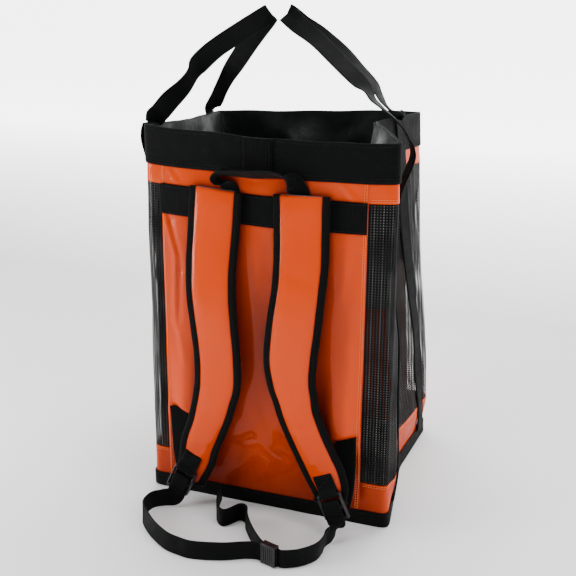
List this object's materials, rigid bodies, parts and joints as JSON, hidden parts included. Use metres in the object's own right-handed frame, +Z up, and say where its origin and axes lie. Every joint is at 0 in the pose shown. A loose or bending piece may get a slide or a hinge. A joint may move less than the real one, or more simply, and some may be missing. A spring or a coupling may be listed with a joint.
{
  "type": "rope storage bag",
  "caption": "Open-top rope bag with coated front, mesh sides, webbing rim, carry handles, haul loop and padded shoulder straps.",
  "frame": {"origin": "centre of the base underside", "axes": "+Z up, -Y towards the harness side, +X to the right when facing that side"},
  "size_m": [0.3574, 0.4428, 0.6408],
  "materials": {
    "orange_pvc": "glossy PVC-coated fabric",
    "black_mesh": "open woven mesh",
    "black_webbing": "ribbed woven nylon webbing",
    "liner_nylon": "coated nylon, soft sheen",
    "strap_lining": "spacer mesh",
    "foam": "closed-cell foam",
    "black_plastic": "moulded acetal"
  },
  "bodies": {
    "bag": {"front_panel": "orange_pvc", "back_panel": "orange_pvc", "side_mesh_left": "black_mesh", "side_mesh_right": "black_mesh", "side_top_patch_left": "orange_pvc", "side_top_patch_right": "orange_pvc", "side_bottom_patch_left": "orange_pvc", "side_bottom_patch_right": "orange_pvc", "base_panel": "liner_nylon", "base_binding": "black_webbing", "rim_band": "black_webbing", "liner_collar": "liner_nylon", "harness_band": "black_webbing", "side_webbing_left_front": "black_webbing", "side_webbing_left_back": "black_webbing", "side_webbing_right_front": "black_webbing", "side_webbing_right_back": "black_webbing", "anchor_webbing_left": "black_webbing", "anchor_webbing_right": "black_webbing", "strap_tail_left": "black_webbing", "strap_tail_right": "black_webbing", "belt_buckle": "black_plastic"},
    "haul_loop": {"haul_loop": "black_webbing"},
    "handle_left": {"handle_left": "black_webbing"},
    "handle_right": {"handle_right": "black_webbing"},
    "strap_left": {"strap_face_left": "orange_pvc", "strap_foam_left": "foam", "strap_binding_left": "black_webbing", "strap_lining_left": "strap_lining", "strap_end_loop_left": "black_webbing"},
    "strap_right": {"strap_face_right": "orange_pvc", "strap_foam_right": "foam", "strap_binding_right": "black_webbing", "strap_lining_right": "strap_lining", "strap_end_loop_right": "black_webbing"},
    "lock_left": {"ladder_lock_left": "black_plastic"},
    "lock_right": {"ladder_lock_right": "black_plastic"}
  },
  "joints": [
    {"name": "handle_left_swing", "type": "hinge", "parent": "bag", "child": "handle_left", "pos_m": [-0.166, -0.122, 0.5], "axis": [-0.0626, 0.9968, -0.0506], "range_deg": [-138, 36]},
    {"name": "handle_right_swing", "type": "hinge", "parent": "bag", "child": "handle_right", "pos_m": [0.159, -0.119, 0.4975], "axis": [-0.1997, 0.9798, 0.0053], "range_deg": [-36, 138]},
    {"name": "haul_loop_swing", "type": "hinge", "parent": "bag", "child": "haul_loop", "pos_m": [0, -0.158, 0.433], "axis": [1, 0, 0], "range_deg": [-8, 50]},
    {"name": "strap_left_swing", "type": "hinge", "parent": "bag", "child": "strap_left", "pos_m": [-0.0605, -0.1555, 0.4275], "axis": [-1, 0, 0], "range_deg": [0, 25], "deforming": ["strap_tail_left"]},
    {"name": "strap_right_swing", "type": "hinge", "parent": "bag", "child": "strap_right", "pos_m": [0.048, -0.1555, 0.4275], "axis": [-1, 0, 0], "range_deg": [0, 25], "deforming": ["strap_tail_right"]},
    {"name": "ladder_lock_left_tilt", "type": "hinge", "parent": "strap_left", "child": "lock_left", "pos_m": [-0.1, -0.1823, 0.051], "axis": [-0.9135, 0, 0.4067], "range_deg": [0, 40]},
    {"name": "ladder_lock_right_tilt", "type": "hinge", "parent": "strap_right", "child": "lock_right", "pos_m": [0.097, -0.1823, 0.054], "axis": [-0.9135, 0, -0.4067], "range_deg": [0, 40]}
  ]
}
